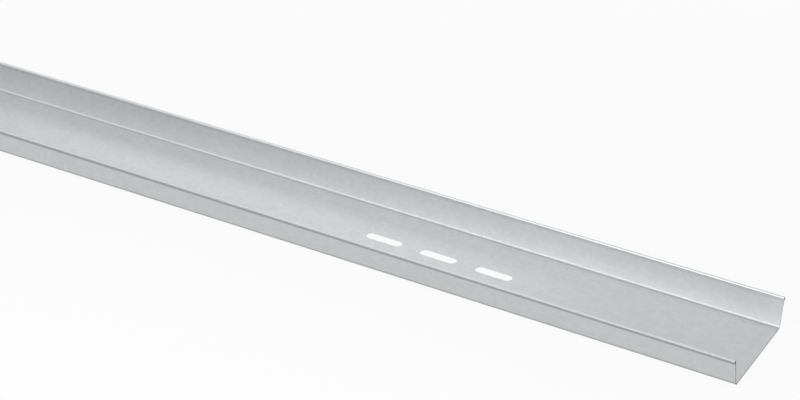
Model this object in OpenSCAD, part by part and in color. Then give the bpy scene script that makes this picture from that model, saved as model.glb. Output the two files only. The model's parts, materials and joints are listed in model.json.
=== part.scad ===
// Cable trunking: one length of zinc-coated sheet steel, folded to a shallow open channel.
// X runs along the stock, Y across it and Z up. The origin is under the middle of the base.

/* [Channel] */
// Length of the stock
length = 2000; // [1000:10:3000]
// Width of the base, between the sharp outer corners
base_w = 68; // [50:1:150]
// Overall height, from the underside to the top of the hems
height = 21; // [12:0.5:60]
// Lean of each wall, outwards from upright
flare = 11; // [0:1:20]

/* [Sheet] */
// Thickness of the sheet
sheet = 0.8; // [0.5:0.1:1.5]
// Inner radius of the bend between the base and a wall
bend_r = 2; // [0.4:0.1:4]

/* [Hems] */
// Inner radius of the fold along the top of a wall
hem_r = 0.25; // [0.2:0.05:0.6]
// Straight lap of the hem after its fold
hem_lap = 1.4; // [0.6:0.1:3]
// Gap that the lip of the hem leaves to the wall it closes on
hem_gap = 0.15; // [0.05:0.05:0.4]

/* [Slots] */
// Length of a slot, over its round ends
slot_l = 26; // [10:0.5:36]
// Width of a slot
slot_w = 7; // [4:0.5:9]
// Distance between the slots of a group
slot_pitch = 40; // [38:1:60]
// Slots in a group
slot_count = 3; // [1:1:4]
// Middle of each group of slots, from the nearer end of the stock
group_in = 220; // [150:5:240]

/* [Hidden] */
$fn = 64;

// How far a cutter runs past the faces that it cuts
cut_past = 1;

// Turn of the bend from the base up into the leaning wall
wall_turn = 90 - flare;
bend_out_r = bend_r + sheet;
// Half of the flat part of the base, up to the start of the bend
base_run = base_w / 2 - bend_out_r * tan(wall_turn / 2);
// Height of the outer face where the bend ends and the flat wall starts
wall_foot = bend_out_r * (1 - sin(flare));
// Turn of the hem's fold: a half turn, and as much more as brings the lip of the lap to its gap
hem_turn = 180 + acos((hem_gap - hem_r) / norm([hem_r, hem_lap])) - atan2(hem_lap, hem_r);
// Height that the fold of the hem takes above the end of the flat wall's outer face
hem_rise = hem_r * (1 - sin(flare)) + sheet;
// Flat part of a wall, between the bend at its foot and the fold at its top
wall_run = (height - wall_foot - hem_rise) / cos(flare);

// Sector from the +X direction round to the angle. Its reach is the power of ten past twice the radius,
// so that its sides keep the same digits as the turns of the sheet and meet the flat stretches exactly.
module wedge(radius, angle, steps = 6) {
    reach = pow(10, ceil(log(2 * radius)));
    polygon([[0, 0], for (i = [0 : steps]) reach * [cos(angle * i / steps), sin(angle * i / steps)]]);
}

// Curved stretch of sheet, from the +X direction round to the angle
module curved_sheet(radius, angle) {
    intersection() {
        difference() {
            circle(r = radius + sheet);
            circle(r = radius);
        }
        wedge(radius + sheet, angle);
    }
}

// Flat stretch of sheet along +X, with its outer face on the axis; what follows starts at its end
module flat_run(run) {
    square([run, sheet]);
    translate([run, 0]) children();
}

// Bend towards the inner face; what follows leaves at the turn
module fold_in(radius, turn) {
    translate([0, radius + sheet]) {
        rotate(-90) curved_sheet(radius, turn);
        rotate(turn) translate([0, -radius - sheet]) children();
    }
}

// Bend towards the outer face; what follows leaves at the turn
module fold_out(radius, turn) {
    translate([0, -radius]) {
        mirror([0, 1]) rotate(-90) curved_sheet(radius, turn);
        rotate(-turn) translate([0, radius]) children();
    }
}

// Half of the section, from the middle of the base out over one wall and its hem
module half_section() {
    flat_run(base_run)
        fold_in(bend_r, wall_turn)
            flat_run(wall_run)
                fold_out(hem_r, hem_turn)
                    flat_run(hem_lap);
}

// Outline of one slot with round ends, along X
module slot_outline() {
    straight = slot_l - slot_w;
    square([straight, slot_w], center = true);
    for (side = [-1, 1]) translate([side * straight / 2, 0]) circle(d = slot_w);
}

// One group of slots in line along the middle of the base
module slot_group() {
    for (i = [0 : slot_count - 1])
        translate([(i - (slot_count - 1) / 2) * slot_pitch, 0, -cut_past])
            linear_extrude(sheet + 2 * cut_past) slot_outline();
}

// The whole length of stock: folded section, punched near both ends
module trunking() {
    color([0.79, 0.81, 0.82])
    difference() {
        rotate([90, 0, 90])
            linear_extrude(length, center = true) {
                half_section();
                mirror([1, 0]) half_section();
            }
        for (end = [-1, 1]) translate([end * (length / 2 - group_in), 0, 0]) slot_group();
    }
}

trunking();
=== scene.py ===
import json

import bpy
import numpy as np
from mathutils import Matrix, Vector


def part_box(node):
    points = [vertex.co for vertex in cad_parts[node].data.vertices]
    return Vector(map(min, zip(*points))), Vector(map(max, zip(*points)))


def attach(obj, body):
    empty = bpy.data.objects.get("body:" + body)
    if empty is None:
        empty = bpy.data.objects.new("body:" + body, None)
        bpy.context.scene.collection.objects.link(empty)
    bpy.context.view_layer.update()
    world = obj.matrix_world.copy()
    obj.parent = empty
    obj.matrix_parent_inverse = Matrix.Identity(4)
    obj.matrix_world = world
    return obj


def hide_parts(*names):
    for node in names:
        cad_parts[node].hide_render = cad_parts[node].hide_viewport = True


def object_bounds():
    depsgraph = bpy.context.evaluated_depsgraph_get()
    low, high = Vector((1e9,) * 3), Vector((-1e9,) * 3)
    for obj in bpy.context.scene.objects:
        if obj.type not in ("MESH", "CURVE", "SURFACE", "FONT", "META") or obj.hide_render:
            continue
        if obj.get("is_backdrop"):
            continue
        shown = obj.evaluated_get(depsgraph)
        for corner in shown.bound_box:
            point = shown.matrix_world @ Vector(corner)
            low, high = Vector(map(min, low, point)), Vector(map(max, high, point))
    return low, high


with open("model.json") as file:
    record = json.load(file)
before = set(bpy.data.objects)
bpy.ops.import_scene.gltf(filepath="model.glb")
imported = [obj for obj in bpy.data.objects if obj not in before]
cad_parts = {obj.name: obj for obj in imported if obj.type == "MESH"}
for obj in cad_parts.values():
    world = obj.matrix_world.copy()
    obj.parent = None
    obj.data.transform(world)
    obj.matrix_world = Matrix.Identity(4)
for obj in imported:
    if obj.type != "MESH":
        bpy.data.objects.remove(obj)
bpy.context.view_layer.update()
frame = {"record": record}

# The trunking: one strip of cold-rolled steel, zinc-coated on both faces before it is worked. It is punched
# flat, folded twice into walls that lean outwards, and its long edges are turned over outwards into hems.
# Its sheared edges, round the slots and at both ends, are bare steel.
MM = 0.001
mounts = {mount["name"]: mount for mount in frame["record"]["mounts"]}
low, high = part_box("trunking")
stock_half, hem_reach, wall_top = high
sheet = mounts["middle_slots"]["pos_m"][2]
lean = np.radians(11.0)
bend_turn = np.pi / 2 - lean
bend_out_r = 2.0 * MM + sheet
hem_r = 0.25 * MM
hem_lap = 1.4 * MM
hem_gap = 0.15 * MM
# The hem's fold goes a half turn, and as much further as brings the lip of the lap to its gap from the wall
hem_turn = np.pi + np.arccos((hem_gap - hem_r) / np.hypot(hem_r, hem_lap)) - np.arctan2(hem_lap, hem_r)
# Flat runs of the strip: up a wall, and from the middle of the base out to the bend
wall_run = (wall_top - (bend_out_r + hem_r) * (1 - np.sin(lean)) - sheet) / np.cos(lean)
wall_out = bend_out_r * np.cos(lean) + wall_run * np.sin(lean)
hem_out = hem_r * (1 + np.cos(lean)) + sheet
base_run = hem_reach - wall_out - hem_out

# The slots, where the record's bolt patterns put them, with half of their straight length
slot_dims = mounts["middle_slots"]["dims"]
slot_r = slot_dims["hole_r_mm"] * MM
slot_straight = slot_dims["slot_length_mm"] * MM / 2 - slot_r
slot_x = np.sort([
    mount["pos_m"][0] + side * mount["dims"]["spacing_x_mm"] * MM / 2
    for mount in mounts.values() if "slot_length_mm" in mount["dims"] for side in (-1, 1)
])
# Half of the rectangle of sheet round a slot that gets a mesh of its own, and the cells across that half
patch_x = slot_straight + slot_r + 4 * MM
patch_y = slot_r + 3.5 * MM
patch_cells = 6
# Radius left at a sheared end, on the slit edge inside a hem, and where the punch drew the sheet into a slot
shear_r = 0.06 * MM
slit_r = 0.1 * MM
punch_r = 0.22 * MM
# Angles of the quarter turn round these radii, in more steps for the punch
quarter = np.linspace(0, np.pi / 2, num=4)
punch_quarter = np.linspace(0, np.pi / 2, num=6)


def folded_strip(stretches):
    """Half of the section, as a strip folded step by step from the middle of the base.

    A stretch is (length, turn, radius, steps). The outer face goes straight on for the length, or round a
    circle of the radius, negative where the strip turns outwards. At every station the inner face lies one
    sheet further along the normal, which is the heading turned left. Gives the points of the outer face, the
    headings and the distance walked at mid-sheet.
    """
    point, heading, walked = np.zeros(2), 0.0, 0.0
    points, headings, distances = [], [], []
    for run, turn, radius, steps in stretches:
        part = np.linspace(0, 1, steps + 1)
        angle = heading + part * turn
        if radius:
            arc = np.stack([np.sin(angle) - np.sin(heading), np.cos(heading) - np.cos(angle)], axis=1)
            path = point + radius * arc
            run = abs(turn * (radius - sheet / 2))
        else:
            path = point + np.outer(part * run, [np.cos(heading), np.sin(heading)])
        first = 1 if points else 0
        points.append(path[first:])
        headings.append(angle[first:])
        distances.append((walked + part * run)[first:])
        point, heading, walked = path[-1], angle[-1], walked + run
    return np.concatenate(points), np.concatenate(headings), np.concatenate(distances)


def section_outline():
    """Closed outline of the section: inner face, cut edge of one hem, outer face, cut edge of the other.

    Each cut edge is two quarter circles of the slit radius. Gives the points, the outward normals, the
    distance walked across the strip with the depth from its outer face, and how many points each face and
    each edge has.
    """
    # The base in two runs, then the bend, the wall, the hem's fold and its lap
    points, headings, walked = folded_strip([
        (patch_y, 0, 0, patch_cells),
        (base_run - patch_y, 0, 0, 5),
        (0, bend_turn, bend_out_r, 16),
        (wall_run, 0, 0, 4),
        (0, -hem_turn, -hem_r, 32),
        (hem_lap - slit_r, 0, 0, 2),
    ])
    up = np.stack([-np.sin(headings), np.cos(headings)], axis=1)
    lip = points[-1]
    lip_up = up[-1]
    lip_along = np.array([np.cos(headings[-1]), np.sin(headings[-1])])
    inner_corner = np.outer(np.cos(quarter), lip_up) + np.outer(np.sin(quarter), lip_along)
    outer_corner = np.outer(np.cos(quarter[::-1]), -lip_up) + np.outer(np.sin(quarter[::-1]), lip_along)
    edge_normals = np.concatenate([inner_corner[1:], outer_corner[:-1]])
    edge_points = np.concatenate([
        lip + (sheet - slit_r) * lip_up + slit_r * inner_corner[1:],
        lip + slit_r * lip_up + slit_r * outer_corner[:-1],
    ])
    edge_walked = np.full(len(edge_points), walked[-1])
    edge_depth = (edge_points - lip) @ lip_up

    flip = np.array([-1.0, 1.0])
    inner = points + sheet * up
    both_inner = np.concatenate([inner[:0:-1] * flip, inner])
    both_outer = np.concatenate([points[::-1], points[1:] * flip])
    both_up = np.concatenate([up[:0:-1] * flip, up])
    both_walked = np.concatenate([-walked[:0:-1], walked])
    full = np.full(len(both_inner), sheet)
    outline = np.concatenate([both_inner, edge_points, both_outer, edge_points[::-1] * flip])
    normals = np.concatenate([both_up, edge_normals, -both_up[::-1], edge_normals[::-1] * flip])
    across = np.concatenate([both_walked, edge_walked, both_walked[::-1], -edge_walked])
    depth = np.concatenate([full, edge_depth, 0 * full, edge_depth[::-1]])
    return outline, normals, np.stack([across, depth], axis=1), len(both_inner), len(edge_points)


def stock_stations():
    """Places along the stock: closer together by the slots, and round the shear radius at both ends.

    Gives each place, and the angle by which the surface has turned towards the end there.
    """
    flat_half = stock_half - shear_r
    clearance = 3 * MM
    even = np.linspace(-flat_half, flat_half, num=61)
    clear = np.abs(even[:, None] - slot_x).min(axis=1) > patch_x + clearance
    fan = np.linspace(slot_straight, patch_x, num=10)
    straight = np.linspace(-slot_straight, slot_straight, num=7)[1:-1]
    by_slots = (slot_x[:, None] + np.concatenate([-fan[::-1], straight, fan])).ravel()
    plain = np.sort(np.concatenate([even[clear], by_slots]))
    turn = quarter[1:]
    rounded = flat_half + shear_r * np.sin(turn)
    places = np.concatenate([-rounded[::-1], plain, rounded])
    return places, np.concatenate([-turn[::-1], np.zeros(len(plain)), turn])


def grid_quads(index):
    """Four corners of every cell of a grid of vertex numbers."""
    return np.stack([index[:-1, :-1], index[:-1, 1:], index[1:, 1:], index[1:, :-1]], axis=-1).reshape(-1, 4)


outline, normals, across_depth, face_count, edge_count = section_outline()
# Distance round the section, from the lip of one hem over the inner face and back over the outer one
closed = np.concatenate([outline, outline[:1]])
girth = np.concatenate([[0.0], np.cumsum(np.linalg.norm(np.diff(closed, axis=0), axis=1))])
inner_middle = girth[face_count // 2]
outer_middle = girth[face_count + edge_count + face_count // 2]
# Band of the export's picture that holds the cut faces of the two ends, and the space under it
cap_band = 0.016
cap_space = 0.004
# How much deeper a slot's wall is laid out on that picture than it is
wall_spread = 2.5


def on_map(round_section, along):
    """Place on the export's picture: once round the section to the right, and along the stock upwards."""
    up = (1 - cap_band - cap_space) * (along / stock_half + 1) / 2
    return np.stack(np.broadcast_arrays(round_section / girth[-1], up), axis=-1)


def laid_quads(spots):
    """Four corners of every cell of a grid of places on the export's picture."""
    index = np.arange(spots.shape[0] * spots.shape[1]).reshape(spots.shape[:2])
    return spots.reshape(-1, 2)[grid_quads(index)]


def folded_stock():
    """The section carried along the stock, with both ends closed and the slots' rectangles left out.

    At the ends every point moves in along its normal as the surface turns, so the shear radius runs all
    round. An end is closed by rungs from the inner face to the outer one, and across each cut edge.
    """
    places, turns = stock_stations()
    count = len(outline)
    inset = shear_r * (1 - np.cos(turns))
    yz = outline[None] - inset[:, None, None] * normals[None]
    x = np.broadcast_to(places[:, None, None], (len(places), count, 1))
    points = np.concatenate([x, yz], axis=2).reshape(-1, 3)
    tilt = np.broadcast_to(np.sin(turns)[:, None, None], (len(places), count, 1))
    shading = np.concatenate([tilt, np.cos(turns)[:, None, None] * normals[None]], axis=2).reshape(-1, 3)
    unrolled = np.column_stack([np.repeat(places, count), np.tile(across_depth, (len(places), 1))])

    index = np.arange(len(points)).reshape(len(places), count)
    skin = grid_quads(np.concatenate([index, index[:, :1]], axis=1))
    centre = points[skin].mean(axis=1)
    beside = np.abs(centre[:, :1] - slot_x).min(axis=1) < patch_x
    kept = ~(beside & (np.abs(centre[:, 1]) < patch_y) & (centre[:, 2] < 2 * sheet))
    skin = skin[kept]
    skin_laid = laid_quads(on_map(girth[None], places[:, None]))[kept]
    second_edge = 2 * face_count + edge_count
    on_edge = np.zeros(count, bool)
    on_edge[face_count:face_count + edge_count] = True
    on_edge[second_edge:] = True
    skin_bare = on_edge[skin % count].all(axis=1)

    half = edge_count // 2
    tip = np.arange(half)
    left = np.stack([second_edge + edge_count - half + tip, second_edge + half - 1 - tip])
    middle = np.stack([np.arange(face_count), second_edge - 1 - np.arange(face_count)])
    right = np.stack([face_count + tip, face_count + edge_count - 1 - tip])
    rungs = np.concatenate([left, middle, right], axis=1)
    caps = np.concatenate([grid_quads(index[row][rungs]) for row in (0, -1)])
    rung_steps = np.linalg.norm(np.diff(outline[rungs].mean(axis=0), axis=0), axis=1)
    over = np.concatenate([[0.0], np.cumsum(rung_steps)]) / rung_steps.sum()
    up = np.array([[1 - cap_band], [1.0]])
    cap_spots = [np.stack(np.broadcast_arrays((end + over) / 2, up), axis=-1) for end in (0, 1)]

    quads = np.concatenate([skin, caps])
    bare = np.concatenate([skin_bare, np.ones(len(caps), bool)])
    laid = np.concatenate([skin_laid] + [laid_quads(spots) for spots in cap_spots])
    return points, shading, unrolled, quads, bare, laid


def slot_patch(middle):
    """The sheet round one slot, in rows from the rectangle's border down through the slot and out again.

    Every border point is joined to the nearest point of the slot's centre line, and the rows follow that
    spoke: over the top, round the punch radius, down the wall, round the shear radius and back under the
    sheet. On the export's picture the wall is laid out inside the slot, and the underside on the outer face.
    """
    places, _ = stock_stations()
    hair = 0.5 * shear_r
    along = places[np.abs(places - middle) < patch_x + hair] - middle
    over = np.linspace(-patch_y, patch_y, 2 * patch_cells + 1)
    border = np.concatenate([
        np.stack([along[:-1], np.full(len(along) - 1, -patch_y)], axis=1),
        np.stack([np.full(len(over) - 1, patch_x), over[:-1]], axis=1),
        np.stack([along[:0:-1], np.full(len(along) - 1, patch_y)], axis=1),
        np.stack([np.full(len(over) - 1, -patch_x), over[:0:-1]], axis=1),
    ])
    nearest_x = np.clip(border[:, 0], -slot_straight, slot_straight)
    centre_line = np.stack([nearest_x, np.zeros(len(border))], axis=1)
    spoke = border - centre_line
    reach = np.linalg.norm(spoke, axis=1)
    spoke /= reach[:, None]

    # For every row: its share of the way from the rim out to the border, how far its rim stands back from the
    # slot's wall, its height in the sheet, and the parts of its normal that point up and into the slot
    out = np.array([1.0, 0.55, 0.25, 0.08])
    ones = np.ones(len(out))
    punch_back = punch_r * (1 - np.sin(punch_quarter))
    punch_height = sheet - punch_r * (1 - np.cos(punch_quarter))
    shear_back = shear_r * (1 - np.cos(quarter))
    shear_height = shear_r * (1 - np.sin(quarter))
    share = np.concatenate([out, 0 * punch_quarter, 0 * quarter, out[::-1]])
    back = np.concatenate([punch_r * ones, punch_back, shear_back, shear_r * ones])
    height = np.concatenate([sheet * ones, punch_height, shear_height, 0 * ones])
    rise = np.concatenate([ones, np.cos(punch_quarter), -np.sin(quarter), -ones])
    inwards = np.concatenate([0 * ones, np.sin(punch_quarter), np.cos(quarter), 0 * ones])

    rim = slot_r + back[:, None]
    radius = rim + share[:, None] * (reach[None] - rim)
    flat = centre_line[None] + radius[..., None] * spoke[None]
    z = np.broadcast_to(height[:, None, None], radius.shape + (1,))
    points = np.concatenate([flat + [middle, 0], z], axis=2).reshape(-1, 3)
    normal_z = np.broadcast_to(rise[:, None, None], radius.shape + (1,))
    shading = np.concatenate([-inwards[:, None, None] * spoke[None], normal_z], axis=2).reshape(-1, 3)
    index = np.arange(radius.size).reshape(radius.shape)
    quads = grid_quads(np.concatenate([index, index[:, :1]], axis=1))
    wall_row = len(out) + len(punch_quarter) - 1
    under_row = wall_row + len(quarter)
    row = quads[:, 0] // radius.shape[1]
    bare = (row >= wall_row - 1) & (row < under_row)

    down_wall = punch_r * np.pi / 2 + sheet - punch_r - shear_r
    walked = np.concatenate([0 * ones, punch_r * punch_quarter, down_wall + shear_r * quarter])
    wall_radius = slot_r + punch_r - wall_spread * walked[:, None]
    upper = slice(under_row + 1)
    laid_radius = np.where(share[upper, None] > 0, radius[upper], wall_radius)
    laid_flat = centre_line[None] + laid_radius[..., None] * spoke[None]
    above = np.concatenate([laid_flat, laid_flat[:, :1]], axis=1)
    below = np.concatenate([flat, flat[:, :1]], axis=1)[under_row:]
    laid = np.concatenate([
        laid_quads(on_map(inner_middle + above[..., 1], middle + above[..., 0])),
        laid_quads(on_map(outer_middle - below[..., 1], middle + below[..., 0])),
    ])
    return points, shading, points, quads, bare, laid


def welded(parts):
    """Joins parts into one surface, with one vertex at each place and every face turned to its normals."""
    weld_step = 1e-8
    starts = np.cumsum([0] + [len(part[0]) for part in parts])
    points, shading, unrolled = (np.concatenate([part[i] for part in parts]) for i in range(3))
    quads = np.concatenate([part[3] + start for part, start in zip(parts, starts)])
    bare = np.concatenate([part[4] for part in parts])
    laid = np.concatenate([part[5] for part in parts])
    cells = np.round(points / weld_step).astype(np.int64)
    _, kept, number = np.unique(cells, axis=0, return_index=True, return_inverse=True)
    used, quads = np.unique(number.reshape(-1)[quads], return_inverse=True)
    quads = quads.reshape(-1, 4)
    points, shading, unrolled = points[kept][used], shading[kept][used], unrolled[kept][used]
    corners = points[quads]
    facing = np.cross(corners[:, 2] - corners[:, 0], corners[:, 3] - corners[:, 1])
    inside_out = (facing * shading[quads].sum(axis=1)).sum(axis=1) < 0
    quads[inside_out] = quads[inside_out][:, ::-1]
    laid[inside_out] = laid[inside_out][:, ::-1]
    return points, shading, unrolled, quads, bare, laid


parts = [folded_stock()] + [slot_patch(middle) for middle in slot_x]
points, shading, unrolled, quads, bare, laid = welded(parts)
mesh = bpy.data.meshes.new("folded_channel")
mesh.from_pydata(points.tolist(), [], quads.tolist())
# Material 0 is the zinc coat, and 1 the bare steel of the cut edges
mesh.polygons.foreach_set("material_index", bare.astype(np.int32))
mesh.polygons.foreach_set("use_smooth", np.ones(len(quads), bool))
mesh.normals_split_custom_set_from_vertices(shading.tolist())
# Every point's place on the strip before it was folded: along it, across it and up through it
strip_place = mesh.attributes.new("unrolled", "FLOAT_VECTOR", "POINT")
strip_place.data.foreach_set("vector", unrolled.astype(np.float32).ravel())
# The map that the export takes for its picture of the materials
export_map = mesh.uv_layers.new(name="OFBake")
export_map.uv.foreach_set("vector", laid.astype(np.float32).ravel())
channel = bpy.data.objects.new("folded_channel", mesh)
bpy.context.scene.collection.objects.link(channel)


def add(tree, kind, settings=None, **feeds):
    """Adds a shader node with its settings. Feeds are the sockets' values, or what is linked into them.

    The feeds a, b and c go to the first, second and third socket, and any other to the socket of its name.
    """
    made = tree.nodes.new("ShaderNode" + kind)
    for name, value in (settings or {}).items():
        setattr(made, name, value)
    for name, value in feeds.items():
        socket = made.inputs["abc".index(name) if name in "abc" else name.replace("_", " ")]
        if isinstance(value, bpy.types.Node):
            value = value.outputs[0]
        if isinstance(value, bpy.types.NodeSocket):
            tree.links.new(value, socket)
        else:
            socket.default_value = value
    return made


def sums(tree, start, *terms):
    """Start plus each (source, weight) term, with every source taken about its middle value of a half."""
    total = start - sum(weight for _, weight in terms) / 2
    for source, weight in terms:
        total = add(tree, "Math", {"operation": "MULTIPLY_ADD"}, a=source, b=weight, c=total)
    return total


def ramp(tree, value, nothing, full):
    """Nothing at one end of a range of the value, rising smoothly to one at the other end."""
    smooth = {"interpolation_type": "SMOOTHSTEP"}
    if nothing < full:
        return add(tree, "MapRange", smooth, Value=value, From_Min=nothing, From_Max=full)
    return add(tree, "MapRange", smooth, Value=value, From_Min=full, From_Max=nothing, To_Min=1.0, To_Max=0.0)


def band(tree, value, middle, full, reach):
    """One where the value is within full of the middle, falling smoothly to nothing at the reach."""
    offset = add(tree, "Math", {"operation": "SUBTRACT"}, a=value, b=middle)
    distance = add(tree, "Math", {"operation": "ABSOLUTE"}, a=offset)
    return ramp(tree, distance, nothing=reach, full=full)


def marked(tree, value, *marks):
    """The value, lowered by the depth of each (share, depth) mark where that share is one."""
    for share, depth in marks:
        left = add(tree, "MapRange", Value=share, To_Min=1.0, To_Max=1.0 - depth)
        value = add(tree, "Math", {"operation": "MULTIPLY"}, a=value, b=left)
    return value


# Places across the unrolled strip, from the middle of the base: the bend's end, and round the hem's fold
bend_end = base_run + bend_turn * (bend_out_r - sheet / 2)
hem_start = bend_end + wall_run
hem_per_turn = hem_r + sheet / 2
hem_crown = hem_start + bend_turn * hem_per_turn
hem_side = hem_start + (np.pi - lean) * hem_per_turn

zinc_colour = (0.762, 0.778, 0.784)
zinc_roughness = 0.42
crystals_per_metre = 330.0
frays_per_metre = 500.0
fray_reach = 1.6 * MM
streaks_per_metre = (9.0, 1500.0, 500.0)
clouds_per_metre = 28.0
grains_per_metre = 2600.0

zinc = bpy.data.materials.new("satin_zinc_coat")
zinc.use_nodes = True
tree = zinc.node_tree
zinc_shader = tree.nodes["Principled BSDF"]
zinc_shader.inputs["Metallic"].default_value = 1.0
place = add(tree, "Attribute", {"attribute_name": "unrolled"}).outputs["Vector"]
spot = add(tree, "SeparateXYZ", Vector=place)
across = add(tree, "Math", {"operation": "ABSOLUTE"}, a=spot.outputs["Y"])
outer_face = ramp(tree, spot.outputs["Z"], nothing=0.7 * sheet, full=0.3 * sheet)

# Crystals of the coat, a few millimetres wide, with uneven borders
wander = add(tree, "TexNoise", Vector=place, Scale=frays_per_metre, Detail=2.0)
fray = {"operation": "MULTIPLY_ADD"}
frayed = add(tree, "VectorMath", fray, a=wander.outputs["Color"], b=(fray_reach,) * 3, c=place)
crystals = add(tree, "TexVoronoi", Vector=frayed, Scale=crystals_per_metre)
crystal = add(tree, "SeparateColor", Color=crystals.outputs["Color"])
# Rolling marks along the strip, clouds in the coat, and the fine grain that makes it satin
rolled = add(tree, "VectorMath", {"operation": "MULTIPLY"}, a=place, b=streaks_per_metre)
streaks = add(tree, "TexNoise", Vector=rolled, Scale=1.0, Detail=3.0)
clouds = add(tree, "TexNoise", Vector=place, Scale=clouds_per_metre, Detail=3.0)
grain = add(tree, "TexNoise", Vector=place, Scale=grains_per_metre, Detail=2.0)

# The bend is rougher where the tool worked it. Inside: painted shade low in the bend, the wall painted darker
# towards the hem, a painted shade line just below the hem, painted shade round the outside of the fold, and a
# painted highlight on the crown, which is also smoother. Outside: painted shade on the bend and under the
# hem.
worked = band(tree, across, middle=(base_run + bend_end) / 2, full=1.0 * MM, reach=1.9 * MM)
painted_crease_shade = band(tree, across, middle=base_run + 0.95 * MM, full=0.3 * MM, reach=1.2 * MM)
painted_wall_top_shade = ramp(tree, across, nothing=bend_end, full=hem_start)
painted_line_below_hem = band(tree, across, middle=hem_start - 1.0 * MM, full=0.2 * MM, reach=1.6 * MM)
painted_fold_underside_shade = ramp(tree, across, nothing=hem_side - 0.75 * MM, full=hem_side - 0.2 * MM)
crown_polish_and_highlight = band(tree, across, middle=hem_crown - 0.1 * MM, full=0.35 * MM, reach=0.9 * MM)
painted_outer_bend_shade = band(tree, across, middle=bend_end - 0.5 * MM, full=0.4 * MM, reach=1.3 * MM)
painted_shade_under_hem = ramp(tree, across, nothing=hem_start - 3.4 * MM, full=hem_start - 1.0 * MM)

even_tone = sums(tree, 1.0, (crystal.outputs[0], 0.05), (clouds, 0.06), (streaks, 0.05))
# The outer face is painted darker all over, as painted shade, besides its other painted shade marks
inner_marks = [(painted_crease_shade, 0.165), (painted_wall_top_shade, 0.07), (painted_line_below_hem, 0.115), (painted_fold_underside_shade, 0.5), (crown_polish_and_highlight, -0.22)]
outer_marks = [(outer_face, 0.255), (painted_outer_bend_shade, 0.25), (painted_shade_under_hem, 0.48)]
inner_tone = marked(tree, even_tone, *inner_marks)
outer_tone = marked(tree, even_tone, *outer_marks)
tone = add(tree, "Mix", Factor=outer_face, A=inner_tone, B=outer_tone)
colour = add(tree, "VectorMath", {"operation": "SCALE"}, a=zinc_colour, Scale=tone)
even_roughness = sums(tree, zinc_roughness, (crystal.outputs[1], 0.06), (clouds, 0.08), (streaks, 0.08))
roughness = marked(tree, even_roughness, (worked, -0.2), (crown_polish_and_highlight, 0.25))
relief = sums(tree, 0.5, (grain, 0.7), (streaks, 0.3))
bump = add(tree, "Bump", Strength=0.15, Distance=0.02 * MM, Height=relief)
tree.links.new(colour.outputs[0], zinc_shader.inputs["Base Color"])
tree.links.new(roughness.outputs[0], zinc_shader.inputs["Roughness"])
tree.links.new(bump.outputs[0], zinc_shader.inputs["Normal"])

# A cut through the sheet is bright where the tool slid along it, by the face it came in at, and torn and dark
# beyond. Punching a slot leaves more of the bright part than shearing the stock to length does.
steel_tint = (1.0, 1.0, 1.02)
slid_slot_shade = 0.74
# At the ends even the slid part is painted almost as dark as the torn part: painted shade
painted_dark_end_shade = 0.15
torn_mean_shade = 0.07
tears_per_metre = 1800.0

bare_steel = bpy.data.materials.new("sheared_bare_steel")
bare_steel.use_nodes = True
tree = bare_steel.node_tree
steel_shader = tree.nodes["Principled BSDF"]
steel_shader.inputs["Metallic"].default_value = 1.0
place = add(tree, "Attribute", {"attribute_name": "unrolled"}).outputs["Vector"]
spot = add(tree, "SeparateXYZ", Vector=place)
along = add(tree, "Math", {"operation": "ABSOLUTE"}, a=spot.outputs["X"])
at_end = add(tree, "Math", {"operation": "GREATER_THAN"}, a=along, b=stock_half - 1 * MM)
tear = add(tree, "TexNoise", Vector=place, Scale=tears_per_metre, Detail=3.0)
torn_from = add(tree, "MapRange", Value=at_end, To_Min=0.1 * sheet, To_Max=0.75 * sheet)
wobble = add(tree, "Math", {"operation": "MULTIPLY_ADD"}, a=tear, b=0.5 * sheet, c=spot.outputs["Z"])
slid = add(tree, "Math", {"operation": "SUBTRACT"}, a=wobble, b=torn_from)
bright = add(tree, "MapRange", Value=slid, From_Min=0.15 * sheet, From_Max=0.35 * sheet)
slid_shade = add(tree, "MapRange", Value=at_end, To_Min=slid_slot_shade, To_Max=painted_dark_end_shade)
torn_shade = sums(tree, torn_mean_shade, (tear, 0.06))
shade = add(tree, "Mix", Factor=bright, A=torn_shade, B=slid_shade)
steel_colour = add(tree, "VectorMath", {"operation": "SCALE"}, a=steel_tint, Scale=shade)
steel_roughness = add(tree, "MapRange", Value=bright, To_Min=0.6, To_Max=0.35)
torn = add(tree, "Bump", Strength=0.5, Distance=0.05 * MM, Height=tear)
tree.links.new(steel_colour.outputs[0], steel_shader.inputs["Base Color"])
tree.links.new(steel_roughness.outputs[0], steel_shader.inputs["Roughness"])
tree.links.new(torn.outputs[0], steel_shader.inputs["Normal"])

mesh.materials.append(zinc)
mesh.materials.append(bare_steel)
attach(channel, "root")
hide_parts("trunking")

# The floor under the trunking: a wide pale sheet that the stock lies on, just clear of its underside.
# It keeps the object's shadow, and it looks white to the camera and in the metal.
floor_size = 60.0
floor_drop = 0.3 * MM
floor_colour = (0.92, 0.92, 0.92, 1)
floor_white_share = 0.88
span = np.array([[-1, -1], [1, -1], [1, 1], [-1, 1]]) * floor_size / 2
floor_points = np.column_stack([span, np.full(4, low[2] - floor_drop)])
floor_mesh = bpy.data.meshes.new("floor")
floor_mesh.from_pydata(floor_points.tolist(), [], [(0, 1, 2, 3)])
floor = bpy.data.objects.new("floor", floor_mesh)
bpy.context.scene.collection.objects.link(floor)
paper = bpy.data.materials.new("pale_floor")
paper.use_nodes = True
tree = paper.node_tree
paper_shader = tree.nodes["Principled BSDF"]
paper_shader.inputs["Base Color"].default_value = floor_colour
paper_shader.inputs["Roughness"].default_value = 0.9
paper_shader.inputs["Specular IOR Level"].default_value = 0.0
glow = add(tree, "Emission", Strength=1.0)
ray = add(tree, "LightPath").outputs
either = {"operation": "MAXIMUM"}
mirrored = add(tree, "Math", either, a=ray["Is Glossy Ray"], b=ray["Is Transmission Ray"])
seen = add(tree, "Math", either, a=ray["Is Camera Ray"], b=mirrored)
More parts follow.
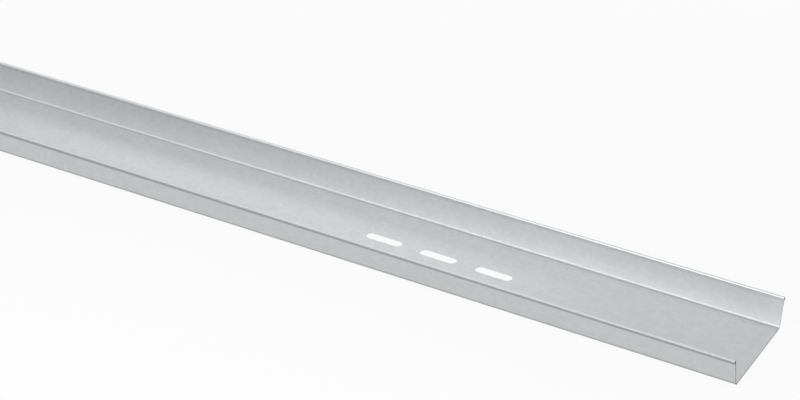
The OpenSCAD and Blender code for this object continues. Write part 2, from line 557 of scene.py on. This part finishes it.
white = add(tree, "Math", {"operation": "MULTIPLY"}, a=seen, b=floor_white_share)
paper_mix = add(tree, "MixShader", a=white, b=paper_shader, c=glow)
tree.links.new(paper_mix.outputs[0], tree.nodes["Material Output"].inputs["Surface"])
floor_mesh.materials.append(paper)
floor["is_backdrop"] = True

# Plain soft studio light: an even pale room, three large soft boxes in a row in front of the stock, and two
# low narrow ones behind it that light the inside of the near wall.
room_strength = 0.66
world = bpy.data.worlds.new("studio")
bpy.context.scene.world = world
world.use_nodes = True
background = world.node_tree.nodes["Background"]
background.inputs["Color"].default_value = (1, 1, 1, 1)
background.inputs["Strength"].default_value = room_strength


def soft_box(name, centre, aim, size, strength):
    """A rectangular soft box at the centre, facing the aim.

    Its power is its strength times its area times pi, so boxes of one strength look equally bright.
    """
    light = bpy.data.lights.new(name, "AREA")
    light.shape = "RECTANGLE"
    light.size, light.size_y = size
    light.energy = strength * size[0] * size[1] * np.pi
    box = bpy.data.objects.new(name, light)
    bpy.context.scene.collection.objects.link(box)
    box.location = centre
    box.rotation_euler = (Vector(aim) - Vector(centre)).to_track_quat("-Z", "Y").to_euler()
    box.visible_camera = False


soft_box("front_soft_box", centre=(0.84, -0.502, 0.224), aim=(0.84, 0, 0), size=(0.68, 0.345), strength=1.03)
soft_box("far_soft_box", centre=(0.4, -0.89, 0.647), aim=(0.4, 0, 0), size=(1.0, 0.78), strength=0.68)
soft_box("back_soft_box", centre=(0.65, 0.534, 0.133), aim=(0.65, 0, 0), size=(0.6, 0.18), strength=0.44)
soft_box("high_soft_box", centre=(0.35, 0.433, 0.339), aim=(0.35, 0, 0), size=(0.6, 0.2), strength=0.39)
soft_box("end_soft_box", centre=(-0.9, -0.89, 0.647), aim=(-0.7, 0, 0), size=(0.8, 0.78), strength=0.5)

# The camera, at the photograph's viewing angle: a long lens looking down along the stock from its near end.
# Its place and focal length were fitted to the straight edges and the slots.
azimuth = np.radians(29.608)
elevation = np.radians(32.208)
aim = Vector((stock_half - 0.27525, 0.04757, 0.0))
distance = 1.67082
photo_width = 800
focal_pixels = 2522.3
back = Vector((np.sin(azimuth) * np.cos(elevation), -np.cos(azimuth) * np.cos(elevation), np.sin(elevation)))
camera_data = bpy.data.cameras.new("camera")
camera_data.sensor_fit = "HORIZONTAL"
camera_data.sensor_width = 36.0
camera_data.lens = focal_pixels / photo_width * camera_data.sensor_width
camera_data.clip_end = 100.0
camera = bpy.data.objects.new("camera", camera_data)
bpy.context.scene.collection.objects.link(camera)
camera.location = aim + back * distance
camera.rotation_euler = back.to_track_quat("Z", "Y").to_euler()
bpy.context.scene.camera = camera

bpy.context.scene.view_settings.view_transform = "Standard"

low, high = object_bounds()
